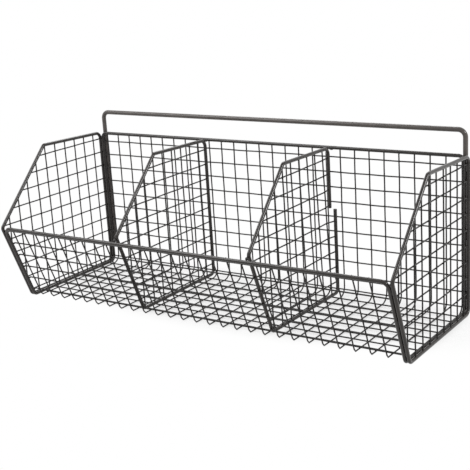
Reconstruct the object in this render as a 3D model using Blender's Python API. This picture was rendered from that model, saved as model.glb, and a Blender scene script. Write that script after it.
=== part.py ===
"""Three-bin wall basket: thick coated rods carry a bent sheet of welded wire mesh, two end panels and two dividers.

Side view, with Y pointing to the wall and Z up: the back stands upright, the floor runs forwards from its foot,
and the front leans outwards up to the lip. Every wire and rod is swept along its own centre line. Wires that are
welded where they cross are drawn one clearance apart.
"""
import math

import bmesh
import bpy
from mathutils import Matrix, Vector

# Overall sizes, in metres, between rod centres
WIDTH = 0.562
HEIGHT = 0.193
FLOOR_DEPTH = 0.1685
LIP_DEPTH = 0.2082
LIP_HEIGHT = 0.1033
TOP_EDGE_DEPTH = 0.1161
END_RISE = 0.0041
DIVIDER_RISE = 0.0034
DIVIDER_SPACING = 0.1925
DIVIDER_SHIFT = 0.006
HANGER_RISE = 0.0297
HANGER_FOOT = 0.027
HANGER_INSET = 0.0011

# Stock diameters, and the gap drawn between pieces that touch
ROD = 0.0045
HANGER_ROD = 0.006
WIRE = 0.0015
CLEARANCE = 0.0003

# Bend radii, at the centre line
TOP_CORNER = 0.008
LIP_CORNER = 0.009
FLOOR_BEND = 0.008
FRONT_BEND = 0.006
PANEL_TOP_BEND = 0.009
PANEL_PEAK_BEND = 0.005
HANGER_BEND = 0.009
MESH_BEND = 0.012
MESH_FRONT_BEND = 0.002

# Wires of the bent sheet, and the gaps it leaves at its edges
PROFILE_WIRES = 28
CROSS_WIRES = 24
LEFT_GAP = 0.0139
TOP_GAP = 0.0115
LIP_GAP = 0.0073

# Wires of each end panel, and the gaps they leave at its edges
END_UPRIGHTS = 10
END_RUNGS = 10
END_BACK_GAP = 0.0166
END_LIP_GAP = 0.0138
END_TOP_GAP = 0.0086
END_FLOOR_GAP = 0.0062

# Wires of each divider, and the gaps they leave to the same edges
DIVIDER_UPRIGHTS = 9
DIVIDER_RUNGS = 9
DIVIDER_BACK_GAP = 0.0216
DIVIDER_LIP_GAP = 0.0295
DIVIDER_TOP_GAP = 0.0127
DIVIDER_FLOOR_GAP = 0.0186

# Open seam at the back of the right divider's rod, whose ends have sprung apart sideways
SEAM_HEIGHT = 0.1155
SEAM_GAP = 0.0006
SEAM_STEP = 0.0076

ROD_SIDES = 12
WIRE_SIDES = 6
BEND_STEP = math.radians(22.5)
FINE_STEP = math.radians(3)

# Sizes that follow from the ones above
LAYER = (WIRE + CLEARANCE) / 2
SIDE_BY_SIDE = ROD + CLEARANCE
FRAME_HALF = WIDTH / 2 - SIDE_BY_SIDE
ROD_REACH = ROD / 2 + CLEARANCE
WIRE_REACH = (ROD + WIRE) / 2 + CLEARANCE
SHEET_REACH = WIRE_REACH + LAYER
HANGER_Y = (ROD + HANGER_ROD) / 2 + CLEARANCE
ACROSS = Vector((1, 0, 0))
BACKWARDS = Vector((0, 1, 0))
UP = Vector((0, 0, 1))
PROFILE = [(0, HEIGHT), (0, 0), (-FLOOR_DEPTH, 0), (-LIP_DEPTH, LIP_HEIGHT)]


def clear_scene():
    for obj in list(bpy.data.objects):
        bpy.data.objects.remove(obj, do_unlink=True)


def coat(name):
    """Dark satin coat, as its own material."""
    material = bpy.data.materials.new(name)
    material.use_nodes = True
    shader = material.node_tree.nodes["Principled BSDF"]
    shader.inputs["Base Color"].default_value = (0.05, 0.045, 0.042, 1)
    shader.inputs["Roughness"].default_value = 0.35
    shader.inputs["Metallic"].default_value = 0.2
    return material


def side_point(point, x=0):
    """A point of the side view, given as Y and Z, placed in space."""
    return Vector((x, point[0], point[1]))


def corner(before, at, after, radius, step):
    """Points of the arc of this radius that rounds a corner, one at least every step of turn."""
    arriving = (at - before).normalized()
    leaving = (after - at).normalized()
    turn = arriving.angle(leaving)
    reach = radius * math.tan(turn / 2)
    axis = arriving.cross(leaving).normalized()
    inward = axis.cross(arriving)
    start = at - arriving * reach
    centre = start + inward * radius
    count = math.ceil(turn / step)
    return [centre + Matrix.Rotation(turn * k / count, 3, axis) @ (start - centre) for k in range(count + 1)]


def rounded(points, radii, closed=False, step=BEND_STEP):
    """A path through the points with its corners rounded. A radius of 0 keeps the point."""
    path = []
    for k, (at, radius) in enumerate(zip(points, radii)):
        if radius == 0:
            path.append(at)
        else:
            path += corner(points[k - 1], at, points[(k + 1) % len(points)], radius, step)
    return path + [path[0]] if closed else path


def offset(points, distances):
    """A line of the side view, with each run moved into the basket by its own distance and mitred at its corners."""
    inward = [Vector((b[1] - a[1], a[0] - b[0])).normalized() for a, b in zip(points, points[1:])]
    moved = [Vector(points[0]) + inward[0] * distances[0]]
    for at, first, second, before, after in zip(points[1:], inward, inward[1:], distances, distances[1:]):
        shared = first.dot(second)
        mitre = first * (before - after * shared) + second * (after - before * shared)
        moved.append(Vector(at) + mitre / (1 - shared**2))
    moved.append(Vector(points[-1]) + inward[-1] * distances[-1])
    return [tuple(p) for p in moved]


def sheet_line(back=0, floor=0, front=0):
    """The bent sheet's side view, whose front lies on the inner side of the lip's rod, moved inwards from there."""
    return offset(PROFILE, [back, floor, SHEET_REACH + front])


def section(radius, sides, normal, tangent, twist):
    """Corners of a regular polygon that has the area of a circle of this radius."""
    spread = radius * math.sqrt(2 * math.pi / (sides * math.sin(2 * math.pi / sides)))
    other = tangent.cross(normal)
    angles = [2 * math.pi * (k + 0.5) / sides + twist for k in range(sides)]
    return [(normal * math.cos(a) + other * math.sin(a)) * spread for a in angles]


def sweep(bm, path, diameter, sides, normal=ACROSS):
    """Adds a rod along a path, mitred at each point. A path that ends where it starts makes a ring."""
    closed = (path[0] - path[-1]).length < 1e-9
    tangents = [(b - a).normalized() for a, b in zip(path, path[1:])]
    normals = [(normal - tangents[0] * normal.dot(tangents[0])).normalized()]
    for a, b in zip(tangents, tangents[1:] + tangents[:1]):
        normals.append(a.rotation_difference(b) @ normals[-1])
    twist = 0
    if closed:
        back = normals[-1]
        error = math.atan2(back.cross(normals[0]).dot(tangents[0]), back.dot(normals[0]))
        pitch = 2 * math.pi / sides
        twist = error - pitch * round(error / pitch)
    lengths = [(b - a).length for a, b in zip(path, path[1:])]
    total, run, rings = sum(lengths), 0, []
    for k, at in enumerate(path[: len(tangents)] + ([] if closed else [path[-1]])):
        ahead = tangents[min(k, len(tangents) - 1)]
        behind = tangents[k - 1] if k > 0 or closed else ahead
        plane = (ahead + behind).normalized()
        corners = section(diameter / 2, sides, normals[min(k, len(tangents) - 1)], ahead, twist * run / total)
        rings.append([bm.verts.new(at + c - ahead * (c.dot(plane) / ahead.dot(plane))) for c in corners])
        run += lengths[min(k, len(lengths) - 1)]
    step = round((error - twist) / pitch) if closed else 0
    pairs = list(zip(rings, rings[1:]))
    if closed:
        pairs.append((rings[-1], [rings[0][(k + step) % sides] for k in range(sides)]))
    for low, high in pairs:
        for k in range(sides):
            face = bm.faces.new((low[k], low[(k + 1) % sides], high[(k + 1) % sides], high[k]))
            face.smooth = True
    if not closed:
        for ring in (rings[0][::-1], rings[-1]):
            cap = bm.faces.new(ring)
            for edge in cap.edges:
                edge.smooth = False


def new_object(name, bm, place=(0, 0, 0), turn=0):
    """An object of this mesh, with its own coat, moved to its place and turned about X."""
    bmesh.ops.recalc_face_normals(bm, faces=bm.faces)
    mesh = bpy.data.meshes.new(name)
    bm.to_mesh(mesh)
    bm.free()
    obj = bpy.data.objects.new(name, mesh)
    obj.location = place
    obj.rotation_euler = (turn, 0, 0)
    bpy.context.scene.collection.objects.link(obj)
    mesh.materials.append(coat(name))
    return obj


def rod_object(name, path, diameter, sides, place=(0, 0, 0), turn=0, normal=ACROSS):
    bm = bmesh.new()
    sweep(bm, path, diameter, sides, normal)
    return new_object(name, bm, place, turn)


def spaced(first, last, count):
    return [first + (last - first) * k / (count - 1) for k in range(count)]


def wrap_frame():
    """One rod bent into a ring: top, down the back, along the floor, up the front, and the same back again."""
    side = [side_point(p, FRAME_HALF) for p in PROFILE]
    other = [side_point(p, -FRAME_HALF) for p in reversed(PROFILE)]
    start = side_point(PROFILE[0])
    radii = [TOP_CORNER, FLOOR_BEND, FRONT_BEND, LIP_CORNER]
    path = rounded([start] + side + other, [0] + radii + radii[::-1], closed=True)
    rod_object("wrap_frame", path, ROD, ROD_SIDES, normal=UP)


def hanger_bar():
    """The arch behind the back that the wall hooks carry."""
    top = HEIGHT + HANGER_RISE
    half = FRAME_HALF - HANGER_INSET
    points = [(-half, HANGER_FOOT), (-half, top), (half, top), (half, HANGER_FOOT)]
    path = rounded([Vector((x, HANGER_Y, z)) for x, z in points], [0, HANGER_BEND, HANGER_BEND, 0])
    rod_object("hanger_bar", path, HANGER_ROD, ROD_SIDES)


def end_distance(x):
    """How far short of the top rod a wire at x stops. The rod bends round into the frame's side at its corners."""
    inner = TOP_CORNER - ROD_REACH
    past = abs(x) + WIRE / 2 - (FRAME_HALF - TOP_CORNER)
    if past <= 0:
        return ROD_REACH
    return TOP_CORNER - math.sqrt(max(inner**2 - past**2, 0))


def half_length(distance):
    """Half the length of a cross wire this far below the top rod, between the frame's sides."""
    inner = TOP_CORNER - ROD_REACH
    short = TOP_CORNER - distance + WIRE / 2
    if short <= 0:
        return FRAME_HALF - ROD_REACH
    return FRAME_HALF - TOP_CORNER + math.sqrt(max(inner**2 - short**2, 0))


def profile_wire(name, x):
    """A wire bent to the side view, on the outer side of the sheet."""
    outer = [side_point(p) for p in sheet_line(-LAYER, -LAYER, -LAYER)]
    outer[0] -= (outer[0] - outer[1]).normalized() * end_distance(x)
    path = rounded(outer, [0, MESH_BEND + LAYER, MESH_FRONT_BEND + LAYER, 0])
    rod_object(name, path, WIRE, WIRE_SIDES, (x, 0, 0))


def along(path, distance):
    """The point this far along a path, and the direction there."""
    for a, b in zip(path, path[1:]):
        length = (b - a).length
        if distance <= length:
            break
        distance -= length
    direction = (b - a).normalized()
    return a + direction * distance, direction


def bent_sheet():
    """The welded sheet of back, floor and front: bent profile wires outside, straight cross wires inside. The last
    profile wire runs beside the frame's right side. Cross wires end between the frame's sides, and in the front,
    which lies above them, over their middles."""
    for k, x in enumerate(spaced(LEFT_GAP - WIDTH / 2, FRAME_HALF - WIRE_REACH, PROFILE_WIRES)):
        profile_wire(f"profile_wire_{k + 1:02d}", x)
    corners = [side_point(p) for p in sheet_line()]
    line = rounded(corners, [0, MESH_BEND, MESH_FRONT_BEND, 0], step=FINE_STEP)
    total = sum((b - a).length for a, b in zip(line, line[1:]))
    front = total - (corners[3] - corners[2]).length
    for k, distance in enumerate(spaced(TOP_GAP, total - LIP_GAP, CROSS_WIRES)):
        at, direction = along(line, distance)
        inward = direction.cross(ACROSS)
        half = FRAME_HALF if distance > front else half_length(distance)
        path = [Vector((-half, 0, 0)), Vector((half, 0, 0))]
        turn = math.atan2(-inward.y, inward.z)
        place = at + inward * LAYER
        rod_object(f"cross_wire_{k + 1:02d}", path, WIRE, WIRE_SIDES, place, turn, UP)


def meeting(a, along_a, b, along_b):
    """Where two lines of the side view cross."""
    gap = b - a
    share = (gap.x * along_b.y - gap.y * along_b.x) / (along_a.x * along_b.y - along_a.y * along_b.x)
    return a + along_a * share


def panel_corners(line, rise):
    """Side view of a panel's rod, which follows a line: top back, floor back, front foot, lip and peak."""
    top, floor, foot, front = [Vector(p) for p in line]
    lip = Vector(PROFILE[3])
    peak = Vector((-TOP_EDGE_DEPTH, HEIGHT + rise))
    nose = meeting(foot, front - foot, lip, peak - lip)
    return [top, floor, foot, nose, peak]


def crossings(path, axis, value):
    """The lowest and highest places where a closed path of the side view crosses a line."""
    found = []
    for a, b in zip(path, path[1:]):
        if (a[axis] - value) * (b[axis] - value) <= 0 and a[axis] != b[axis]:
            share = (value - a[axis]) / (b[axis] - a[axis])
            found.append(a[3 - axis] + (b[3 - axis] - a[3 - axis]) * share)
    return min(found), max(found)


def leaning(outline, y, z, step):
    """How far sideways an upright stands at a height, when its ends on the rod are sprung apart."""
    low, high = crossings(outline, 1, y)
    return step * (1 + y / LIP_DEPTH) * (0.5 - (z - low) / (high - low))


def sprung(point, step, above):
    """A panel's point moved sideways: half the step at the back, one way above the seam and the other below, and
    nothing at the lip."""
    side = -0.5 if above else 0.5
    return Vector((point.x + side * step * (1 + point.y / LIP_DEPTH), point.y, point.z))


def panel_rod(name, x, corners, radii, step):
    """A panel's rod: a ring, or with a step a bar that starts and ends at the seam in its back."""
    if step:
        back = corners[0].y
        upper = Vector((0, back, SEAM_HEIGHT + SEAM_GAP / 2))
        lower = Vector((0, back, SEAM_HEIGHT - SEAM_GAP / 2))
        around = [upper, corners[0]] + corners[:0:-1] + [lower]
        points = [sprung(p, step, k < 3) for k, p in enumerate(around)]
        path = rounded(points, [0, radii[0]] + radii[:0:-1] + [0])
    else:
        path = rounded(corners, radii, closed=True)
    return rod_object(name, path, ROD, ROD_SIDES, (x, 0, 0))


def panel(name, x, line, rise, floor_bend, wires_at, rungs_at, step=0):
    """A rod bent round a panel, with upright wires and rungs welded into it. A step opens the rod at its back, and
    bends the rungs sideways where they meet the first upright."""
    corners = [side_point(p) for p in panel_corners(line, rise)]
    radii = [PANEL_TOP_BEND, floor_bend, FRONT_BEND, PANEL_PEAK_BEND, PANEL_PEAK_BEND]
    rod = panel_rod(name, x, corners, radii, step)
    outline = rounded(corners, radii, closed=True)
    wires = bmesh.new()
    for y in wires_at:
        low, high = [Vector((LAYER, y, z)) for z in crossings(outline, 1, y)]
        sweep(wires, [sprung(low, step, False), sprung(high, step, True)], WIRE, WIRE_SIDES, BACKWARDS)
    for z in rungs_at:
        path = [sprung(Vector((-LAYER, y, z)), step, z > SEAM_HEIGHT) for y in crossings(outline, 2, z)]
        if step:
            y = wires_at[0]
            path.insert(1, Vector((leaning(outline, y, z, step) - LAYER, y, z)))
        sweep(wires, path, WIRE, WIRE_SIDES, UP)
    cutter = new_object(name + "_wires", wires, (x, 0, 0))
    cutter.hide_render = True
    cutter.display_type = "WIRE"
    weld = rod.modifiers.new("weld", "BOOLEAN")
    weld.operation = "UNION"
    weld.solver = "EXACT"
    weld.object = cutter


def end_panels():
    wires_at = spaced(-END_BACK_GAP, END_LIP_GAP - LIP_DEPTH, END_UPRIGHTS)
    rungs_at = spaced(END_FLOOR_GAP, HEIGHT - END_TOP_GAP, END_RUNGS)
    for name, x in (("end_panel_left", -WIDTH / 2), ("end_panel_right", WIDTH / 2)):
        panel(name, x, PROFILE, END_RISE, FLOOR_BEND, wires_at, rungs_at)


def dividers():
    line = sheet_line(SIDE_BY_SIDE, SHEET_REACH, SHEET_REACH)
    bend = MESH_BEND - SIDE_BY_SIDE
    wires_at = spaced(-DIVIDER_BACK_GAP, DIVIDER_LIP_GAP - LIP_DEPTH, DIVIDER_UPRIGHTS)
    rungs_at = spaced(DIVIDER_FLOOR_GAP, HEIGHT - DIVIDER_TOP_GAP, DIVIDER_RUNGS)
    left = DIVIDER_SHIFT - DIVIDER_SPACING / 2
    right = DIVIDER_SHIFT + DIVIDER_SPACING / 2
    panel("divider_left", left, line, DIVIDER_RISE, bend, wires_at, rungs_at)
    panel("divider_right", right, line, DIVIDER_RISE, bend, wires_at, rungs_at, SEAM_STEP)


def set_down():
    """Moves everything so that the origin is at the centre of the basket's underside."""
    bpy.context.view_layer.update()
    objects = list(bpy.data.objects)
    points = [obj.matrix_world @ v.co for obj in objects for v in obj.data.vertices]
    low = [min(p[k] for p in points) for k in range(3)]
    high = [max(p[k] for p in points) for k in range(3)]
    centre = Vector(((low[0] + high[0]) / 2, (low[1] + high[1]) / 2, low[2]))
    for obj in objects:
        obj.location -= centre


clear_scene()
wrap_frame()
hanger_bar()
bent_sheet()
end_panels()
dividers()
set_down()
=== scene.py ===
"""Looks of a three-bin wall basket: coated rods, welded mesh wires, weld beads, and the studio.

Shapes are worked out in the side view's own frame, with X across the basket, Y towards the wall
from the back rods and Z up from the bottom rods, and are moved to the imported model's place when
their mesh is made. The studio is a pale floor, a white world, three soft lamps and the camera.
"""

import math

import bpy
import numpy as np
from mathutils import Matrix, Vector


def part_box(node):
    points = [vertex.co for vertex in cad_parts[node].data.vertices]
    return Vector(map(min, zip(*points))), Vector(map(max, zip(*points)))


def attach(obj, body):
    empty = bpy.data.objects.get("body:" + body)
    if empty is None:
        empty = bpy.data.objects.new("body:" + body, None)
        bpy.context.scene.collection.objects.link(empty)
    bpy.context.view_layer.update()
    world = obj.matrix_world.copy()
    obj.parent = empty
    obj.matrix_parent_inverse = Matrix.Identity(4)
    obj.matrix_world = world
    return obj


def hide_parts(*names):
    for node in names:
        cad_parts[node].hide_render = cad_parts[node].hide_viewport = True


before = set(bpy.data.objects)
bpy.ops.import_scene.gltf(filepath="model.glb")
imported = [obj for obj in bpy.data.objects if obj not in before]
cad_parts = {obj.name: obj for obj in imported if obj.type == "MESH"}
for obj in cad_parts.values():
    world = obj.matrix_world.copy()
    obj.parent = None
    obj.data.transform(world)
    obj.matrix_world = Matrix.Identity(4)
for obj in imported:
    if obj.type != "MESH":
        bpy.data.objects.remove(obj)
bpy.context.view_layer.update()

# Overall sizes, in metres, between rod centres
WIDTH = 0.562
HEIGHT = 0.193
FLOOR_DEPTH = 0.1685
LIP_DEPTH = 0.2082
LIP_HEIGHT = 0.1033
TOP_EDGE_DEPTH = 0.1161
END_RISE = 0.0041
DIVIDER_RISE = 0.0034
DIVIDER_SPACING = 0.1925
DIVIDER_SHIFT = 0.006
HANGER_RISE = 0.0297
HANGER_FOOT = 0.027
HANGER_INSET = 0.0011

# Stock, the coat's thickness on the wires, the gap between neighbouring rods, and how far two
# welded wires sink into each other
ROD = 0.0045
HANGER_ROD = 0.006
WIRE = 0.0015
COAT = 0.00014
CLEARANCE = 0.0003
SINK = 0.0002

# Bend radii, at the centre line
TOP_CORNER = 0.008
LIP_CORNER = 0.009
FLOOR_BEND = 0.008
FRONT_BEND = 0.006
PANEL_TOP_BEND = 0.009
PANEL_PEAK_BEND = 0.005
HANGER_BEND = 0.009
MESH_BEND = 0.012
MESH_FRONT_BEND = 0.002

# Wires of the bent sheet, and the gaps it leaves at its edges
PROFILE_WIRES = 28
CROSS_WIRES = 24
LEFT_GAP = 0.0139
TOP_GAP = 0.0115
LIP_GAP = 0.0073

# Wires of each end panel, and the gaps they leave at its edges
END_UPRIGHTS = 10
END_RUNGS = 10
END_BACK_GAP = 0.0166
END_LIP_GAP = 0.0138
END_TOP_GAP = 0.0086
END_FLOOR_GAP = 0.0062

# Wires of each divider, and the gaps they leave to the same edges
DIVIDER_UPRIGHTS = 9
DIVIDER_RUNGS = 9
DIVIDER_BACK_GAP = 0.0216
DIVIDER_LIP_GAP = 0.0295
DIVIDER_TOP_GAP = 0.0127
DIVIDER_FLOOR_GAP = 0.0186

# Open seam at the back of the right divider's rod, and how far its two ends are sprung apart
SEAM_HEIGHT = 0.1155
SEAM_GAP = 0.0006
SEAM_STEP = 0.0076

# Fineness of the surfaces
ROD_SIDES = 24
WIRE_SIDES = 12
ARC_STEP = math.radians(6)
ROD_PITCH = 0.004
WIRE_PITCH = 0.005
SEARCH_PITCH = 0.00025
BEAD_SIDES = 8
BEAD_BANDS = 4
CHAMFER = 0.0004

# Weld beads between wires: half sizes along one wire, along the other, and through both
CROSSING_BEAD = (0.0013, 0.0013, 0.00095)
END_BEAD = (0.0011, 0.0011, 0.0011)
FRONT_END_BEAD = (0.0012, 0.0012, 0.0019)

# Seams between rods: half sizes from rod to rod, square to that, and along the seam
SEAM_BEAD = (0.0013, 0.0016, 0.005)
BACK_BEAD = (0.0016, 0.0016, 0.003)
NOSE_BEAD = (0.0024, 0.0019, 0.0021)

# Where the seams lie: shares of each straight run of the frame's side, and the distance from the
# hanger's foot and from the frame's top corner
SEAM_SHARES = (0.12, 0.5, 0.88)
LEG_SEAM_GAP = 0.008

# How far a weld marks the wire beside it, the places about it, as shares of that, which get a
# ring of points, and the gap below which two rings become one
WELD_REACH = 0.0022
MARK_SHARES = np.array([-1, -0.5, 0, 0.5, 1])
RING_GAP = WELD_REACH / 8

# Small waver of the wires: its size and length, and the size and rate of its slower part
WAVER = 0.00012
WAVER_LENGTH = 0.055
SLOW_SHARE = 0.6
SLOW_RATE = 0.37

# Where the wavers' random draws start: the cross wires', and the rungs' after a panel's uprights'
CROSS_SEED = 100
RUNG_SEED = 50

# The front is where the sheet's direction points upwards by more than this share
FRONT_CLIMB = 0.5

# Spans and heights below these count as none
NO_SPAN = 1e-12
NO_HEIGHT = 1e-9

# Finishes: the coat's two colours, its range of roughness, how much it is rubbed, the scales of
# its mottle and peel, the strength of its relief, and the weight of the clear layer
COATS = {
    "rod": {
        "colour": (0.022, 0.0177, 0.0148), "shade": (0.0145, 0.0117, 0.0098), "gloss": (0.23, 0.3),
        "rub": 0.3, "mottle": 70, "peel": 900, "relief": 0.22, "clear": 0.5,
    },
    "wire": {
        "colour": (0.012, 0.0099, 0.0085), "shade": (0.0078, 0.0065, 0.0056), "gloss": (0.38, 0.46),
        "rub": 0.2, "mottle": 110, "peel": 1400, "relief": 0.2, "clear": 0.25,
    },
    # Hanger: a lighter copy of the coat. Its extra lightness is painted light for the light the bar
    # catches from above and behind
    "hanger": {
        "colour": (0.092, 0.0802, 0.0734), "shade": (0.068, 0.0592, 0.0542), "gloss": (0.34, 0.42),
        "rub": 0.4, "mottle": 55, "peel": 800, "relief": 0.25, "clear": 0.4,
    },
    "weld": {
        "colour": (0.012, 0.0098, 0.0083), "shade": (0.0078, 0.0064, 0.0054), "gloss": (0.42, 0.55),
        "rub": 0.1, "mottle": 300, "peel": 1800, "relief": 0.5, "clear": 0.3,
    },
}

# What all coats share: the levels of noise between which the shade turns to the colour, a rubbed
# spot shows, and a grain fills
TONE_LEVELS = (0.36, 0.66)
SPOT_LEVELS = (0.62, 0.74)
GRAIN_LEVELS = (0.45, 0.1)

# The colour of rubbed spots, and how a weld tints and dulls the coat that pools on it
RUBBED = (0.09, 0.08, 0.074, 1)
POOLED = (0.62, 0.6, 0.6, 1)
WELD_ROUGHNESS = 0.12

# Relief: the grains' share of its height, and its depth. Then the gloss of body and clear layer
GRAIN_HEIGHT = 0.3
RELIEF_DEPTH = 0.00004
BODY_IOR = 1.3
CLEAR_IOR = 1.45
CLEAR_ROUGHNESS = 0.1

# Floor: its radius and sides, its two greys, its roughness, and the scale of its tooth
FLOOR_RADIUS = 6
FLOOR_SIDES = 96
FLOOR_GREYS = ((0.86, 0.86, 0.86, 1), (0.9, 0.9, 0.9, 1))
FLOOR_ROUGHNESS = 0.7
TOOTH_SCALE = 400.0

# The oval that keeps the basket's shade: a stretch and a shift of X, Y and Z, the lengths between
# which the shade fades, and the share of glow inside it
SHADE_STRETCH = (1.1, 3.2, 1)
SHADE_SHIFT = (0, -0.145, 0)
SHADE_FADE = (0.26, 0.42)
SHADE_GLOW = 0.6

# Light: the world's strength, and each lamp's name, place, aim, size and power
WHITE = (1, 1, 1, 1)
WORLD_STRENGTH = 0.5
LAMPS = (
    ("key_lamp", (-0.7, -0.55, 0.95), (-0.2, 0, 0.15), (0.7, 0.7), 7.5),
    ("side_lamp", (1.48, 0.03, 1.1), (0, 0, 0.1), (0.4, 0.4), 12),
    ("back_lamp", (-0.5, 0.9, 1.1), (-0.2, 0, 0.15), (0.8, 0.5), 6),
)

# Camera, fitted to the photograph, in the side view's frame
IMAGE_PIXELS = 470
SENSOR_WIDTH = 36
FOCAL_PIXELS = 1030.58
CAMERA_AZIMUTH = math.radians(34.68)
CAMERA_ELEVATION = math.radians(15.738)
CAMERA_ROLL = math.radians(-3.573)
CAMERA_PLACE = (0.7184, -1.11571, 0.44481)

# Sizes that follow from the ones above
FRAME_HALF = WIDTH / 2 - ROD - CLEARANCE
INSET = ROD + CLEARANCE
WIRE_REACH = (ROD + WIRE) / 2 + CLEARANCE
SHEET_REACH = WIRE_REACH + (WIRE + CLEARANCE) / 2
LAYER = (WIRE - SINK) / 2
HANGER_Y = (ROD + HANGER_ROD) / 2 + CLEARANCE

# Side view of the frame's sides, from the top rod down the back, along the floor and up the front
PROFILE = np.array([(0, HEIGHT), (0, 0), (-FLOOR_DEPTH, 0), (-LIP_DEPTH, LIP_HEIGHT)])

# Directions: the three axes, and one that no rod or wire follows, which turns the tubes' rings
ACROSS, INTO, UP = np.eye(3)
LEAN = np.array([0.62, 0.53, 0.58])


def box_middle(node):
    """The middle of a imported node's box: half the sum of its corners."""
    low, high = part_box(node)
    return (np.array(low) + np.array(high)) / 2


ORIGIN = np.array(
    [0, box_middle("hanger_bar")[1] - HANGER_Y, box_middle("wrap_frame")[2] - HEIGHT / 2]
)


# Lines


def unit(vectors):
    """Vectors divided by their lengths."""
    return vectors / np.linalg.norm(vectors, axis=-1, keepdims=True)


def round_corner(before, at, after, radius):
    """An arc that rounds a corner: centre + radius * (ahead * sin t - inward * cos t), with t from
    0 to the turn."""
    ahead, leaving = unit(at - before), unit(after - at)
    turn = math.acos(np.clip(ahead @ leaving, -1, 1))
    inward = unit(leaving - ahead * (ahead @ leaving))
    centre = at - ahead * radius * math.tan(turn / 2) + inward * radius
    t = np.linspace(0, turn, math.ceil(turn / ARC_STEP) + 1)[:, None]
    return centre + radius * (ahead * np.sin(t) - inward * np.cos(t))


def bent_line(points, radii, closed=False):
    """Straight runs joined by arcs. A corner with radius 0 keeps its point, and a closed line ends
    where it starts."""
    points = np.asarray(points, float)
    runs = []
    for k, radius in enumerate(radii):
        if radius:
            after = points[(k + 1) % len(points)]
            runs.append(round_corner(points[k - 1], points[k], after, radius))
        else:
            runs.append(points[k : k + 1])
    if closed:
        runs.append(runs[0][:1])
    return np.concatenate(runs)


def lengths_along(line):
    """Distance from the start to each point of a line: the running sum of its segments' lengths."""
    return np.concatenate([[0], np.cumsum(np.linalg.norm(np.diff(line, axis=0), axis=1))])


def points_at(line, distances):
    """Points of a line at these distances from its start, each coordinate interpolated between its
    neighbours."""
    along = lengths_along(line)
    coordinates = [np.interp(distances, along, line[:, k]) for k in range(line.shape[1])]
    return np.stack(coordinates, axis=1)


def directions_at(line, distances):
    """Direction of a line at these distances: that of the segment each falls in."""
    along = lengths_along(line)
    k = np.clip(np.searchsorted(along, distances, side="right") - 1, 0, len(line) - 2)
    return unit(line[k + 1] - line[k])


def with_stations(line, pitch, marks=()):
    """A line with more points: one at least every pitch, and five about each mark, so that a weld
    can colour them. Gives the points and their distances from the start."""
    along = lengths_along(line)
    even = np.linspace(0, along[-1], math.ceil(along[-1] / pitch) + 1)
    marks = np.asarray(marks, float).reshape(-1, 1)
    near = (marks + WELD_REACH * MARK_SHARES).ravel()
    every = np.sort(np.concatenate([along, even, near[(near > 0) & (near < along[-1])]]))
    kept = every[np.concatenate([[True], np.diff(every) > RING_GAP])]
    kept[-1] = along[-1]
    return points_at(line, kept), kept


def nearest_along(line, points):
    """Distance along a line to the place nearest each point, found among close even stations."""
    stations = np.arange(0, lengths_along(line)[-1], SEARCH_PITCH)
    gaps = points_at(line, stations)[:, None, :] - points[None, :, :]
    return stations[(gaps**2).sum(axis=2).argmin(axis=0)]


def closeness(distances, marks):
    """1 at a mark, falling to 0 away from it: exp(-(distance to nearest mark / reach) squared)."""
    if len(marks) == 0:
        return np.zeros(len(distances))
    nearest = np.abs(distances[:, None] - np.asarray(marks)[None, :]).min(axis=1)
    return np.exp(-((nearest / WELD_REACH) ** 2))


def waver(distances, direction, seed):
    """A wire's small waver along one direction: size * (sin(turns + p) + share * sin(rate * turns +
    q)), where turns grows with the distance and p and q are random."""
    phase = np.random.default_rng(seed).uniform(0, 2 * math.pi, 2)
    turns = 2 * math.pi * distances / WAVER_LENGTH
    size = WAVER * (np.sin(turns + phase[0]) + SLOW_SHARE * np.sin(SLOW_RATE * turns + phase[1]))
    return size[:, None] * np.asarray(direction, float)


# Surfaces: each is a dict of points, quads, triangles and how near each point is to a weld


def tube(line, radius, sides, closed=False, weld=None):
    """A round bar along a line: point + radius * (cos a * n + sin a * b), where a goes once round,
    n is square to the line and to the fixed leaning direction, and b is square to both. Open ends
    are chamfered and closed at a pole."""
    middle = line[:-1] if closed else line
    ahead = unit(np.roll(middle, -1, axis=0) - middle)
    behind = np.roll(ahead, 1, axis=0)
    if not closed:
        ahead[-1], behind[0] = ahead[-2], ahead[0]
    forward = unit(ahead + behind)
    weld = np.zeros(len(middle)) if weld is None else weld[: len(middle)]
    if not closed:
        first, last = middle[0], middle[-1]
        opening = [first, first + forward[0] * CHAMFER]
        ending = [last - forward[-1] * CHAMFER, last]
        middle = np.concatenate([opening, middle[1:-1], ending])
        forward = np.concatenate([forward[:1], forward, forward[-1:]])
        weld = np.concatenate([weld[:1], weld, weld[-1:]])
    rings = len(middle)
    factor = np.ones(rings)
    if not closed:
        factor[[0, -1]] = 1 - CHAMFER / radius
    n = unit(np.cross(forward, LEAN))
    b = np.cross(forward, n)
    a = np.linspace(0, 2 * math.pi, sides, endpoint=False)[None, :, None]
    ring = np.cos(a) * n[:, None, :] + np.sin(a) * b[:, None, :]
    points = (middle[:, None, :] + radius * factor[:, None, None] * ring).reshape(-1, 3)
    low = np.arange(rings if closed else rings - 1)[:, None] * sides
    high = (low + sides) % (rings * sides)
    k = np.arange(sides)
    step = (k + 1) % sides
    quads = np.stack([low + k, low + step, high + step, high + k], axis=-1).reshape(-1, 4)
    weld = np.repeat(weld, sides)
    triangles = np.zeros((0, 3), int)
    if not closed:
        count = rings * sides
        last_ring = count - sides
        start = np.stack([np.full(sides, count), step, k], axis=1)
        finish = np.stack([np.full(sides, count + 1), k + last_ring, step + last_ring], axis=1)
        triangles = np.concatenate([start, finish])
        points = np.concatenate([points, middle[[0, -1]]])
        weld = np.concatenate([weld, [weld[0], weld[-1]]])
    return {"points": points, "quads": quads, "triangles": triangles, "weld": weld}


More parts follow.
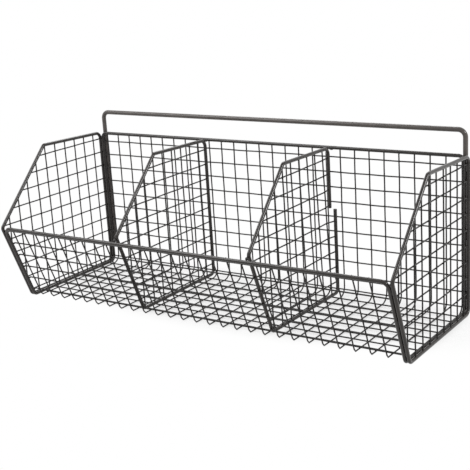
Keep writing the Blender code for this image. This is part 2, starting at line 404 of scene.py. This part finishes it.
def beads(centres, frames, half_sizes):
    """Weld beads: centre + x * sin u * cos v + y * sin u * sin v + z * cos u, with u from pole to
    pole, v once round, and x, y and z each bead's own directions times its half sizes."""
    centres = np.asarray(centres, float).reshape(-1, 3)
    axes = np.broadcast_to(frames, (len(centres), 3, 3)) * np.asarray(half_sizes, float)[:, None]
    u = np.repeat(np.linspace(0, math.pi, BEAD_BANDS + 1)[1:-1], BEAD_SIDES)
    v = np.tile(np.linspace(0, 2 * math.pi, BEAD_SIDES, endpoint=False), BEAD_BANDS - 1)
    ball = np.stack([np.sin(u) * np.cos(v), np.sin(u) * np.sin(v), np.cos(u)], axis=1)
    ball = np.concatenate([ball, [[0, 0, 1], [0, 0, -1]]])
    points = centres[:, None, :] + np.einsum("pk,nkc->npc", ball, axes)
    k = np.arange(BEAD_SIDES)
    step = (k + 1) % BEAD_SIDES
    low = np.arange(BEAD_BANDS - 2)[:, None] * BEAD_SIDES
    high = low + BEAD_SIDES
    quads = np.stack([low + k, high + k, high + step, low + step], axis=-1).reshape(-1, 4)
    last = (BEAD_BANDS - 2) * BEAD_SIDES
    top = np.stack([np.full(BEAD_SIDES, len(ball) - 2), k, step], axis=1)
    bottom = np.stack([np.full(BEAD_SIDES, len(ball) - 1), last + step, last + k], axis=1)
    shift = (np.arange(len(centres)) * len(ball))[:, None, None]
    return {
        "points": points.reshape(-1, 3),
        "quads": (shift + quads).reshape(-1, 4),
        "triangles": (shift + np.concatenate([top, bottom])).reshape(-1, 3),
        "weld": np.ones(len(centres) * len(ball)),
    }


def joined(shapes):
    """Several shapes as one: their points one after the other, and their faces' numbers moved on
    to match."""
    shifts = np.cumsum([0] + [len(s["points"]) for s in shapes[:-1]])
    return {
        "points": np.concatenate([s["points"] for s in shapes]),
        "quads": np.concatenate([s["quads"] + n for s, n in zip(shapes, shifts)]),
        "triangles": np.concatenate([s["triangles"] + n for s, n in zip(shapes, shifts)]),
        "weld": np.concatenate([s["weld"] for s in shapes]),
    }


def make_piece(name, shapes, material, replaces=None):
    """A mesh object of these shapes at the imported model's place, riding on the body that carries
    everything."""
    whole = joined(shapes)
    points = whole["points"] + ORIGIN
    quads, triangles = whole["quads"], whole["triangles"]
    corners = np.concatenate([quads.ravel(), triangles.ravel()]).astype(np.int32)
    sizes = np.concatenate([np.full(len(quads), 4), np.full(len(triangles), 3)])
    mesh = bpy.data.meshes.new(name)
    mesh.vertices.add(len(points))
    mesh.vertices.foreach_set("co", points.astype(np.float32).ravel())
    mesh.loops.add(len(corners))
    mesh.loops.foreach_set("vertex_index", corners)
    mesh.polygons.add(len(sizes))
    mesh.polygons.foreach_set("loop_start", (np.cumsum(sizes) - sizes).astype(np.int32))
    mesh.polygons.foreach_set("use_smooth", np.ones(len(sizes), bool))
    attribute = mesh.attributes.new("weld", "FLOAT", "POINT")
    attribute.data.foreach_set("value", whole["weld"].astype(np.float32))
    mesh.update(calc_edges=True)
    mesh.materials.append(material)
    piece = bpy.data.objects.new(name, mesh)
    bpy.context.scene.collection.objects.link(piece)
    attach(piece, "root")
    if replaces:
        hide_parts(replaces)


# Side view


def offset(distances):
    """The side view's line with each run moved into the basket by its own distance d. A corner
    between runs whose inward normals are m and n moves by (m * (d1 - d2 * m.n) + n * (d2 - d1 *
    m.n)) / (1 - (m.n) squared)."""
    along = unit(np.diff(PROFILE, axis=0))
    m, n = np.stack([along[:, 1], -along[:, 0]], axis=1)[[[0, 1], [1, 2]]]
    d1, d2 = np.array(distances)[[[0, 1], [1, 2]]][:, :, None]
    shared = (m * n).sum(axis=1, keepdims=True)
    mitre = (m * (d1 - d2 * shared) + n * (d2 - d1 * shared)) / (1 - shared**2)
    return PROFILE + np.concatenate([m[:1] * distances[0], mitre, n[1:] * distances[2]])


def sheet_line(back=0.0, floor=0.0, front=0.0):
    """The bent sheet's side view, whose front lies on the inner side of the lip's rod, with its
    back, floor and front moved inwards from there."""
    return offset([back, floor, SHEET_REACH + front])


def in_space(side_points, x=0.0):
    """Points of the side view placed in space at x."""
    side_points = np.asarray(side_points, float)
    return np.concatenate([np.full((len(side_points), 1), float(x)), side_points], axis=1)


def profile_wire_line(x=0.0):
    """The profile wires' line at x, before its bends: the sheet's, moved outwards by one layer."""
    return in_space(sheet_line(-LAYER, -LAYER, -LAYER), x)


def divider_line():
    """The line that the dividers' rods follow, on the inner side of the sheet."""
    return sheet_line(INSET, SHEET_REACH, SHEET_REACH)


def top_drop(x):
    """How far below the top rod's straight line its centre lies at x: r - sqrt(r squared - past
    squared) in a corner of radius r, where past is how far x lies beyond the corner's start."""
    past = np.abs(x) - (FRAME_HALF - TOP_CORNER)
    fall = TOP_CORNER - np.sqrt(np.maximum(TOP_CORNER**2 - past**2, 0))
    return np.where(past > 0, fall, 0)


def side_reach(distance):
    """Half the width between the side rods' centres this far below the top rod, by the same
    circle."""
    short = TOP_CORNER - distance
    reach = FRAME_HALF - TOP_CORNER + np.sqrt(np.maximum(TOP_CORNER**2 - short**2, 0))
    return np.where(short > 0, reach, FRAME_HALF)


# Pieces


def wrap_frame(material):
    """The frame's one rod, bent into a ring: top, down the back, along the floor, up the front, the
    lip, and back again on the other side."""
    side = in_space(PROFILE, FRAME_HALF)
    other = in_space(PROFILE[::-1], -FRAME_HALF)
    radii = [TOP_CORNER, FLOOR_BEND, FRONT_BEND, LIP_CORNER]
    corners = np.concatenate([in_space(PROFILE[:1]), side, other])
    line = bent_line(corners, [0] + radii + radii[::-1], closed=True)
    rod = tube(with_stations(line, ROD_PITCH)[0], ROD / 2, ROD_SIDES, closed=True)
    make_piece("coated_wrap_frame", [rod], material, "wrap_frame")


def hanger_bar(material):
    """The arch behind the back that the wall hooks carry, with chamfered feet."""
    top = HEIGHT + HANGER_RISE
    half = FRAME_HALF - HANGER_INSET
    ends = [(-half, HANGER_FOOT), (-half, top), (half, top), (half, HANGER_FOOT)]
    line = bent_line([(x, HANGER_Y, z) for x, z in ends], [0, HANGER_BEND, HANGER_BEND, 0])
    bar = tube(with_stations(line, ROD_PITCH)[0], HANGER_ROD / 2, ROD_SIDES)
    make_piece("coated_hanger_bar", [bar], material, "hanger_bar")


def wire_tube(line, marks, direction, seed):
    """A mesh wire with rings closer together at its welds, and its small waver."""
    line, along = with_stations(line, WIRE_PITCH, marks)
    line = line + waver(along, direction, seed)
    return tube(line, WIRE / 2 + COAT, WIRE_SIDES, weld=closeness(along, marks))


def bent_sheet(material, weld_material):
    """The welded sheet of back, floor and front: bent profile wires outside, straight cross wires
    inside. Columns are the profile wires' places across, rows the cross wires' down and along."""
    columns = np.linspace(LEFT_GAP - WIDTH / 2, FRAME_HALF - WIRE_REACH, PROFILE_WIRES)
    middle = bent_line(in_space(sheet_line()), [0, MESH_BEND, MESH_FRONT_BEND, 0])
    rows = np.linspace(TOP_GAP, lengths_along(middle)[-1] - LIP_GAP, CROSS_WIRES)
    at, along = points_at(middle, rows), directions_at(middle, rows)
    inward = np.cross(along, ACROSS)
    for k, x in enumerate(columns):
        outer = profile_wire_line(x)
        outer[0] += unit(outer[1] - outer[0]) * top_drop(x)
        line = bent_line(outer, [0, MESH_BEND + LAYER, MESH_FRONT_BEND + LAYER, 0])
        wire = wire_tube(line, nearest_along(line, at + ACROSS * x), ACROSS, k)
        name = f"profile_wire_{k + 1:02d}"
        make_piece("coated_" + name, [wire], material, name)
    for k, (place, half) in enumerate(zip(at + inward * LAYER, side_reach(rows))):
        line = np.array([place - ACROSS * half, place + ACROSS * half])
        wire = wire_tube(line, columns + half, along[k], CROSS_SEED + k)
        name = f"cross_wire_{k + 1:02d}"
        make_piece("coated_" + name, [wire], material, name)
    sheet_welds(weld_material, columns, rows, at, along, inward)


def sheet_welds(material, columns, rows, at, along, inward):
    """Beads where the sheet's wires cross, and where they end: the cross wires on the side rods of
    back and floor, the profile wires under the top rod and behind the lip's, and upright beads that
    bridge the front's cross wires and the side rods below them."""
    grid = (at[:, None, :] + columns[None, :, None] * ACROSS).reshape(-1, 3)
    turned = np.stack([along, np.broadcast_to(ACROSS, along.shape), inward], axis=1)
    crossing = beads(grid, np.repeat(turned, len(columns), axis=0), CROSSING_BEAD)
    cross = at + inward * LAYER
    front = along[:, 2] > FRONT_CLIMB
    half = (side_reach(rows) - ROD / 2)[~front, None] * ACROSS
    outer = profile_wire_line()
    down, ahead = unit(outer[1] - outer[0]), unit(outer[3] - outer[2])
    places = columns[:, None] * ACROSS
    top = outer[0] + places + (top_drop(columns) + ROD / 2)[:, None] * down
    lip = outer[3] - ahead * END_BEAD[0] - np.cross(ahead, ACROSS) * WIRE / 2 + places
    ends = np.concatenate([cross[~front] + half, cross[~front] - half, top, lip])
    ends = beads(ends, np.eye(3), END_BEAD)
    above = SHEET_REACH + LAYER
    between = cross[front] - inward[front] * (above - ROD / 2) / 2
    bridges = np.concatenate([between + ACROSS * FRAME_HALF, between - ACROSS * FRAME_HALF])
    bridges = beads(bridges, np.concatenate([turned[front]] * 2), FRONT_END_BEAD)
    make_piece("sheet_welds", [crossing, ends, bridges], material)


def crossing_range(outline, axis, values):
    """Lowest and highest places where a closed side-view line crosses each value of an axis."""
    a, b = outline[:-1, :, None], outline[1:, :, None]
    span = b[:, axis] - a[:, axis]
    share = (values - a[:, axis]) / np.where(np.abs(span) < NO_SPAN, np.nan, span)
    hit = (share >= 0) & (share <= 1)
    places = a[:, 1 - axis] + share * (b[:, 1 - axis] - a[:, 1 - axis])
    places = np.where(hit, places, np.nan)
    return np.nanmin(places, axis=0), np.nanmax(places, axis=0)


def flat_cross(a, b):
    """Cross product of two side-view directions: a.y * b.z - a.z * b.y."""
    return a[0] * b[1] - a[1] * b[0]


def meeting(a, along_a, b, along_b):
    """Where two side-view lines cross: a + along_a * s, with s from the lines' cross products."""
    return a + along_a * (flat_cross(b - a, along_b) / flat_cross(along_a, along_b))


def panel_corners(around, rise):
    """Side view of a panel's rod, which follows a line: top back, floor back, front foot, lip and
    peak."""
    top, floor, foot, front = around
    lip = PROFILE[3]
    peak = np.array([-TOP_EDGE_DEPTH, HEIGHT + rise])
    return np.array([top, floor, foot, meeting(foot, front - foot, lip, peak - lip), peak])


def spring(points, outline, step):
    """How far a sprung panel's points stand sideways. Along its rod: half the step, one way above
    the seam and the other below, fading to nothing at the lip. Inside it, up to the first upright,
    this turns smoothly into a slope in proportion to the height."""
    y, z = points[:, 1], points[:, 2]
    low, high = crossing_range(outline, 0, y)
    inside = (z - low) / np.maximum(high - low, NO_HEIGHT) - 0.5
    rod = np.where(z > SEAM_HEIGHT, 0.5, -0.5)
    t = np.clip((y + INSET) / (INSET - DIVIDER_BACK_GAP), 0, 1)
    blend = t * t * (3 - 2 * t)
    return -step * (1 + y / LIP_DEPTH) * (rod * (1 - blend) + inside * blend)


def panel_rod(corners, radii, step):
    """A panel's rod: a ring, or with a step a bar that starts and ends at the seam in its back. Its
    upper end, top and peak stand to one side, and the rest to the other."""
    if not step:
        line = bent_line(in_space(corners), radii, closed=True)
        return tube(with_stations(line, ROD_PITCH)[0], ROD / 2, ROD_SIDES, closed=True)
    upper = (corners[0, 0], SEAM_HEIGHT + SEAM_GAP / 2)
    lower = (corners[0, 0], SEAM_HEIGHT - SEAM_GAP / 2)
    around = in_space(np.concatenate([[upper], corners[:1], corners[:0:-1], [lower]]))
    above = np.arange(len(around)) < 3
    around[:, 0] = np.where(above, -0.5, 0.5) * step * (1 + around[:, 1] / LIP_DEPTH)
    line = bent_line(around, [0, radii[0]] + radii[:0:-1] + [0])
    return tube(with_stations(line, ROD_PITCH)[0], ROD / 2, ROD_SIDES)


def panel(name, x, around, rise, floor_bend, uprights, rungs, materials, step=0.0):
    """A rod bent round a panel, with upright wires and rungs welded into it and to each other."""
    corners = panel_corners(around, rise)
    radii = [PANEL_TOP_BEND, floor_bend, FRONT_BEND, PANEL_PEAK_BEND, PANEL_PEAK_BEND]
    outline = bent_line(corners, radii, closed=True)
    low, high = crossing_range(outline, 0, uprights)
    front, back = crossing_range(outline, 1, rungs)
    seed = sum(map(ord, name))
    wires, ends = [], []
    for k, y in enumerate(uprights):
        line = np.array([[LAYER, y, low[k]], [LAYER, y, high[k]]])
        line = with_stations(line, WIRE_PITCH)[0]
        line[:, 0] += spring(line, outline, step)
        marks = rungs[(rungs > low[k]) & (rungs < high[k])] - low[k]
        wires.append(wire_tube(line, marks, INTO, seed + k))
        ends += [line[0] + UP * ROD / 2, line[-1] - UP * ROD / 2]
    for k, z in enumerate(rungs):
        line = np.array([[-LAYER, front[k], z], [-LAYER, back[k], z]])
        line = with_stations(line, WIRE_PITCH)[0]
        line[:, 0] += spring(line, outline, step)
        marks = uprights[(uprights > front[k]) & (uprights < back[k])] - front[k]
        wires.append(wire_tube(line, marks, UP, seed + RUNG_SEED + k))
        ends += [line[0] + INTO * ROD / 2, line[-1] - INTO * ROD / 2]
    ys, zs = [a.ravel() for a in np.meshgrid(uprights, rungs)]
    lows, highs = crossing_range(outline, 0, ys)
    inside = (zs > lows + ROD) & (zs < highs - ROD)
    grid = np.stack([np.zeros(inside.sum()), ys[inside], zs[inside]], axis=1)
    grid[:, 0] += spring(grid, outline, step)
    crossing = beads(grid, np.array([INTO, UP, ACROSS]), CROSSING_BEAD)
    mesh = joined(wires + [crossing, beads(ends, np.eye(3), END_BEAD)])
    rod = panel_rod(corners, radii, step)
    for shape in (rod, mesh):
        shape["points"] = shape["points"] + ACROSS * x
    make_piece("coated_" + name, [rod], materials["rod"], name)
    make_piece(name + "_grid", [mesh], materials["wire"])


def panels(materials):
    """The two end panels and the two dividers."""
    uprights = np.linspace(-END_BACK_GAP, END_LIP_GAP - LIP_DEPTH, END_UPRIGHTS)
    rungs = np.linspace(END_FLOOR_GAP, HEIGHT - END_TOP_GAP, END_RUNGS)
    for name, x in (("end_panel_left", -WIDTH / 2), ("end_panel_right", WIDTH / 2)):
        panel(name, x, PROFILE, END_RISE, FLOOR_BEND, uprights, rungs, materials)
    uprights = np.linspace(-DIVIDER_BACK_GAP, DIVIDER_LIP_GAP - LIP_DEPTH, DIVIDER_UPRIGHTS)
    rungs = np.linspace(DIVIDER_FLOOR_GAP, HEIGHT - DIVIDER_TOP_GAP, DIVIDER_RUNGS)
    around, bend = divider_line(), MESH_BEND - INSET
    for name, side, step in (("divider_left", -0.5, 0.0), ("divider_right", 0.5, SEAM_STEP)):
        x = DIVIDER_SHIFT + side * DIVIDER_SPACING
        panel(name, x, around, DIVIDER_RISE, bend, uprights, rungs, materials, step)


def bead_frames(ahead, towards):
    """A bead's own directions: x towards its other rod, z ahead along the seam, and y square to
    both."""
    x, z = np.broadcast_arrays(towards, ahead)
    return np.stack([x, np.cross(z, x), z], axis=-2)


def seam_welds(material, knob_material):
    """Short seams that hold rod to rod: the end panels along the frame's sides, the hanger's legs
    behind the frame, the dividers' backs on the top rod, and a knob between each divider's nose and
    the lip's rod."""
    starts, runs = in_space(PROFILE[:-1]), in_space(np.diff(PROFILE, axis=0))
    shares = np.array(SEAM_SHARES)
    places = (starts[:, None, :] + shares[None, :, None] * runs[:, None, :]).reshape(-1, 3)
    ahead = np.repeat(unit(runs), len(shares), axis=0)
    lowest, highest = HANGER_FOOT + LEG_SEAM_GAP, HEIGHT - TOP_CORNER - LEG_SEAM_GAP
    heights = np.array([lowest, HEIGHT / 2, highest])[:, None] * UP
    lip, nose = PROFILE[3], panel_corners(divider_line(), DIVIDER_RISE)[3]
    across = in_space([unit(nose - lip)])[0]
    shapes, knobs = [], []
    for side in (-1, 1):
        between = places + ACROSS * side * (FRAME_HALF + INSET / 2)
        shapes.append(beads(between, bead_frames(ahead, ACROSS), SEAM_BEAD))
        rod = np.array([side * FRAME_HALF, 0, 0])
        leg = np.array([side * (FRAME_HALF - HANGER_INSET), HANGER_Y, 0])
        towards = unit(leg - rod)
        middle = rod + towards * (ROD / 2 + CLEARANCE / 2)
        shapes.append(beads(middle + heights, bead_frames(UP, towards), SEAM_BEAD))
        x = DIVIDER_SHIFT + side * DIVIDER_SPACING / 2
        back = np.array([x, -INSET / 2, HEIGHT - ROD / 4])
        shapes.append(beads(back, bead_frames(ACROSS, INTO), BACK_BEAD))
        ridge = in_space([(nose + lip) / 2], x)
        knobs.append(beads(ridge, bead_frames(ACROSS, across), NOSE_BEAD))
    make_piece("seam_welds", shapes, material)
    make_piece("nose_knobs", knobs, knob_material)


# Materials


def add_node(tree, kind, place, **values):
    """A node at a place, with its properties and its input values set."""
    node = tree.nodes.new(kind)
    node.location = place
    for key, value in values.items():
        if key in node.inputs:
            node.inputs[key].default_value = value
        else:
            setattr(node, key, value)
    return node


def ramp_between(tree, place, low, high):
    """A node that maps low to 0 and high to 1, smoothly, and holds outside."""
    node = add_node(tree, "ShaderNodeMapRange", place, interpolation_type="SMOOTHSTEP")
    node.inputs["From Min"].default_value = low
    node.inputs["From Max"].default_value = high
    return node


def mixed_colour(tree, place, blend="MIX"):
    """A colour mix node."""
    node = tree.nodes.new("ShaderNodeMix")
    node.location = place
    node.data_type = "RGBA"
    node.blend_type = blend
    return node


def coat_group():
    """Baked powder coat: a mottled brown-black colour, fine orange peel, duller and darker beads at
    the welds, and small rubbed spots where the colour is lighter."""
    tree = bpy.data.node_groups.new("powder_coat", "ShaderNodeTree")
    taken = {
        "Vector": "NodeSocketVector",
        "Coat": "NodeSocketColor",
        "Warm Shade": "NodeSocketColor",
        "Rubbed": "NodeSocketColor",
        "Weld": "NodeSocketFloat",
        "Rub Amount": "NodeSocketFloat",
        "Mottle Scale": "NodeSocketFloat",
        "Peel Scale": "NodeSocketFloat",
        "Gloss Low": "NodeSocketFloat",
        "Gloss High": "NodeSocketFloat",
    }
    put_out = {
        "Color": "NodeSocketColor",
        "Roughness": "NodeSocketFloat",
        "Height": "NodeSocketFloat",
    }
    for way, sockets in (("INPUT", taken), ("OUTPUT", put_out)):
        for name, kind in sockets.items():
            tree.interface.new_socket(name, in_out=way, socket_type=kind)
    link = tree.links.new
    given = add_node(tree, "NodeGroupInput", (-1200, 0))
    result = add_node(tree, "NodeGroupOutput", (900, 0))
    mottle = add_node(tree, "ShaderNodeTexNoise", (-900, 300), Detail=4.0, Roughness=0.6)
    peel = add_node(tree, "ShaderNodeTexNoise", (-900, -300), Detail=2.0, Roughness=0.5)
    fleck = add_node(tree, "ShaderNodeTexVoronoi", (-900, 0))
    for node, scale in ((mottle, "Mottle Scale"), (peel, "Peel Scale"), (fleck, "Peel Scale")):
        link(given.outputs["Vector"], node.inputs["Vector"])
        link(given.outputs[scale], node.inputs["Scale"])
    tone = ramp_between(tree, (-650, 300), *TONE_LEVELS)
    link(mottle.outputs["Fac"], tone.inputs["Value"])
    base = mixed_colour(tree, (-400, 300))
    link(tone.outputs["Result"], base.inputs["Factor"])
    link(given.outputs["Warm Shade"], base.inputs["A"])
    link(given.outputs["Coat"], base.inputs["B"])
    spots = ramp_between(tree, (-650, 0), *SPOT_LEVELS)
    link(mottle.outputs["Fac"], spots.inputs["Value"])
    grains = ramp_between(tree, (-650, -150), *GRAIN_LEVELS)
    link(fleck.outputs["Distance"], grains.inputs["Value"])
    rub = add_node(tree, "ShaderNodeMath", (-400, 0), operation="MULTIPLY")
    link(spots.outputs["Result"], rub.inputs[0])
    link(grains.outputs["Result"], rub.inputs[1])
    rub_share = add_node(tree, "ShaderNodeMath", (-200, 0), operation="MULTIPLY")
    link(rub.outputs["Value"], rub_share.inputs[0])
    link(given.outputs["Rub Amount"], rub_share.inputs[1])
    rubbed = mixed_colour(tree, (0, 300))
    link(rub_share.outputs["Value"], rubbed.inputs["Factor"])
    link(base.outputs["Result"], rubbed.inputs["A"])
    link(given.outputs["Rubbed"], rubbed.inputs["B"])
    pooled = mixed_colour(tree, (250, 300), "MULTIPLY")
    link(given.outputs["Weld"], pooled.inputs["Factor"])
    link(rubbed.outputs["Result"], pooled.inputs["A"])
    pooled.inputs["B"].default_value = POOLED
    link(pooled.outputs["Result"], result.inputs["Color"])
    gloss = add_node(tree, "ShaderNodeMapRange", (0, -50))
    link(tone.outputs["Result"], gloss.inputs["Value"])
    link(given.outputs["Gloss Low"], gloss.inputs["To Min"])
    link(given.outputs["Gloss High"], gloss.inputs["To Max"])
    dull = add_node(tree, "ShaderNodeMath", (250, -50), operation="MULTIPLY_ADD", use_clamp=True)
    link(given.outputs["Weld"], dull.inputs[0])
    dull.inputs[1].default_value = WELD_ROUGHNESS
    link(gloss.outputs["Result"], dull.inputs[2])
    link(dull.outputs["Value"], result.inputs["Roughness"])
    height = add_node(tree, "ShaderNodeMath", (0, -300), operation="MULTIPLY_ADD")
    link(fleck.outputs["Distance"], height.inputs[0])
    height.inputs[1].default_value = GRAIN_HEIGHT
    link(peel.outputs["Fac"], height.inputs[2])
    link(height.outputs["Value"], result.inputs["Height"])
    return tree


def coat_material(name, group, colour, shade, gloss, rub, mottle, peel, relief, clear):
    """A coated finish: the powder coat group drives colour, roughness and relief, and a thin clear
    layer lies on top."""
    material = bpy.data.materials.new(name)
    material.use_nodes = True
    tree = material.node_tree
    shader = tree.nodes["Principled BSDF"]
    place = add_node(tree, "ShaderNodeTexCoord", (-900, 0))
    near = add_node(tree, "ShaderNodeAttribute", (-900, -300), attribute_name="weld")
    finish = add_node(tree, "ShaderNodeGroup", (-600, 0), node_tree=group)
    tree.links.new(place.outputs["Object"], finish.inputs["Vector"])
    tree.links.new(near.outputs["Fac"], finish.inputs["Weld"])
    finish.inputs["Coat"].default_value = (*colour, 1)
    finish.inputs["Warm Shade"].default_value = (*shade, 1)
    finish.inputs["Rubbed"].default_value = RUBBED
    finish.inputs["Rub Amount"].default_value = rub
    finish.inputs["Mottle Scale"].default_value = mottle
    finish.inputs["Peel Scale"].default_value = peel
    finish.inputs["Gloss Low"].default_value = gloss[0]
    finish.inputs["Gloss High"].default_value = gloss[1]
    tree.links.new(finish.outputs["Color"], shader.inputs["Base Color"])
    tree.links.new(finish.outputs["Roughness"], shader.inputs["Roughness"])
    bump = add_node(tree, "ShaderNodeBump", (-300, -300), Strength=relief, Distance=RELIEF_DEPTH)
    tree.links.new(finish.outputs["Height"], bump.inputs["Height"])
    tree.links.new(bump.outputs["Normal"], shader.inputs["Normal"])
    shader.inputs["Metallic"].default_value = 0.0
    shader.inputs["IOR"].default_value = BODY_IOR
    shader.inputs["Coat Weight"].default_value = clear
    shader.inputs["Coat Roughness"].default_value = CLEAR_ROUGHNESS
    shader.inputs["Coat IOR"].default_value = CLEAR_IOR
    return material


def coat_materials():
    """The finishes of rods, mesh wires, hanger and beads: one coat, laid thicker or thinner. The
    hanger's coat is a lighter copy whose extra lightness is painted light, standing in for the
    light its bar catches from above and behind.
    """
    group = coat_group()
    return {name: coat_material(name + "_coat", group, **values) for name, values in COATS.items()}


def seen_rays(tree, place):
    """1 on the camera's rays and on those of gloss and glass, which all see the plain white
    background."""
    rays = add_node(tree, "ShaderNodeLightPath", place)
    straight = add_node(tree, "ShaderNodeMath", (place[0] + 200, place[1]), operation="MAXIMUM")
    seen = add_node(tree, "ShaderNodeMath", (place[0] + 400, place[1]), operation="MAXIMUM")
    tree.links.new(rays.outputs["Is Camera Ray"], straight.inputs[0])
    tree.links.new(rays.outputs["Is Glossy Ray"], straight.inputs[1])
    tree.links.new(straight.outputs["Value"], seen.inputs[0])
    tree.links.new(rays.outputs["Is Transmission Ray"], seen.inputs[1])
    return seen


def floor_material():
    """Pale floor: a nearly white sheet with a faint tooth. In an oval under and behind the basket
    it keeps the basket's shadow, and away from there it fades into the plain white background. The
    fade follows the length of (place * stretch + shift)."""
    material = bpy.data.materials.new("floor_sheet")
    material.use_nodes = True
    tree = material.node_tree
    shader = tree.nodes["Principled BSDF"]
    shader.inputs["Roughness"].default_value = FLOOR_ROUGHNESS
    place = add_node(tree, "ShaderNodeTexCoord", (-900, 0))
    tooth = add_node(tree, "ShaderNodeTexNoise", (-650, 0), Scale=TOOTH_SCALE, Detail=2.0)
    tree.links.new(place.outputs["Object"], tooth.inputs["Vector"])
    tint = mixed_colour(tree, (-400, 0))
    tint.inputs["A"].default_value, tint.inputs["B"].default_value = FLOOR_GREYS
    tree.links.new(tooth.outputs["Fac"], tint.inputs["Factor"])
    tree.links.new(tint.outputs["Result"], shader.inputs["Base Color"])
    oval = add_node(tree, "ShaderNodeVectorMath", (-800, -300), operation="MULTIPLY_ADD")
    oval.inputs[1].default_value = SHADE_STRETCH
    oval.inputs[2].default_value = SHADE_SHIFT
    tree.links.new(place.outputs["Object"], oval.inputs[0])
    away = add_node(tree, "ShaderNodeVectorMath", (-650, -300), operation="LENGTH")
    tree.links.new(oval.outputs["Vector"], away.inputs[0])
    far = ramp_between(tree, (-400, -300), *SHADE_FADE)
    far.inputs["To Min"].default_value = SHADE_GLOW
    tree.links.new(away.outputs["Value"], far.inputs["Value"])
    seen = seen_rays(tree, (-1000, -550))
    share = add_node(tree, "ShaderNodeMath", (-200, -400), operation="MULTIPLY")
    tree.links.new(far.outputs["Result"], share.inputs[0])
    tree.links.new(seen.outputs["Value"], share.inputs[1])
    glow = add_node(tree, "ShaderNodeEmission", (-200, -600), Strength=1.0)
    blend = add_node(tree, "ShaderNodeMixShader", (200, 0))
    tree.links.new(share.outputs["Value"], blend.inputs["Fac"])
    tree.links.new(shader.outputs["BSDF"], blend.inputs[1])
    tree.links.new(glow.outputs["Emission"], blend.inputs[2])
    tree.links.new(blend.outputs["Shader"], tree.nodes["Material Output"].inputs["Surface"])
    return material


# Studio


def floor():
    """A flat round sheet under the basket: radius * (cos a, sin a) at the height of its
    underside."""
    a = np.linspace(0, 2 * math.pi, FLOOR_SIDES, endpoint=False)
    rim = np.stack([FLOOR_RADIUS * np.cos(a), FLOOR_RADIUS * np.sin(a), np.zeros_like(a)], axis=1)
    mesh = bpy.data.meshes.new("floor")
    mesh.from_pydata(rim.tolist(), [], [list(range(len(a)))])
    mesh.materials.append(floor_material())
    sheet = bpy.data.objects.new("floor", mesh)
    bpy.context.scene.collection.objects.link(sheet)


def lamp(name, place, aim, size, power):
    """A soft rectangular lamp at a place, turned to its aim."""
    light = bpy.data.lights.new(name, "AREA")
    light.shape = "RECTANGLE"
    light.size, light.size_y = size
    light.energy = power
    holder = bpy.data.objects.new(name, light)
    holder.location = place
    holder.rotation_euler = (Vector(aim) - Vector(place)).to_track_quat("-Z", "Y").to_euler()
    bpy.context.scene.collection.objects.link(holder)


def studio():
    """A white world, which the camera and the gloss see at full strength, and three soft lamps."""
    world = bpy.data.worlds.new("studio")
    bpy.context.scene.world = world
    world.use_nodes = True
    tree = world.node_tree
    sky = tree.nodes["Background"]
    sky.inputs["Color"].default_value = WHITE
    sky.inputs["Strength"].default_value = WORLD_STRENGTH
    white = add_node(tree, "ShaderNodeBackground", (0, -200), Color=WHITE, Strength=1.0)
    seen = seen_rays(tree, (-600, 200))
    blend = add_node(tree, "ShaderNodeMixShader", (200, 0))
    tree.links.new(seen.outputs["Value"], blend.inputs["Fac"])
    tree.links.new(sky.outputs["Background"], blend.inputs[1])
    tree.links.new(white.outputs["Background"], blend.inputs[2])
    tree.links.new(blend.outputs["Shader"], tree.nodes["World Output"].inputs["Surface"])
    for values in LAMPS:
        lamp(*values)


def camera():
    """The camera at the photograph's place and angle: its axes from azimuth, elevation and roll."""
    a, e, r = CAMERA_AZIMUTH, CAMERA_ELEVATION, CAMERA_ROLL
    back = Vector((math.sin(a) * math.cos(e), -math.cos(a) * math.cos(e), math.sin(e)))
    level = Vector((0, 0, 1)).cross(back).normalized()
    over = back.cross(level)
    right = level * math.cos(r) + over * math.sin(r)
    up = over * math.cos(r) - level * math.sin(r)
    data = bpy.data.cameras.new("camera")
    data.sensor_width = SENSOR_WIDTH
    data.lens = FOCAL_PIXELS * SENSOR_WIDTH / IMAGE_PIXELS
    holder = bpy.data.objects.new("camera", data)
    turn = Matrix((right, up, back)).transposed().to_4x4()
    holder.matrix_world = Matrix.Translation(Vector(CAMERA_PLACE) + Vector(ORIGIN)) @ turn
    bpy.context.scene.collection.objects.link(holder)
    bpy.context.scene.camera = holder


finishes = coat_materials()
wrap_frame(finishes["rod"])
# The hanger's coat is lighter than the rods': painted light on its bar
hanger_bar(finishes["hanger"])
bent_sheet(finishes["wire"], finishes["weld"])
panels(finishes)
seam_welds(finishes["weld"], finishes["rod"])
floor()
studio()
camera()
bpy.context.scene.view_settings.view_transform = "Standard"
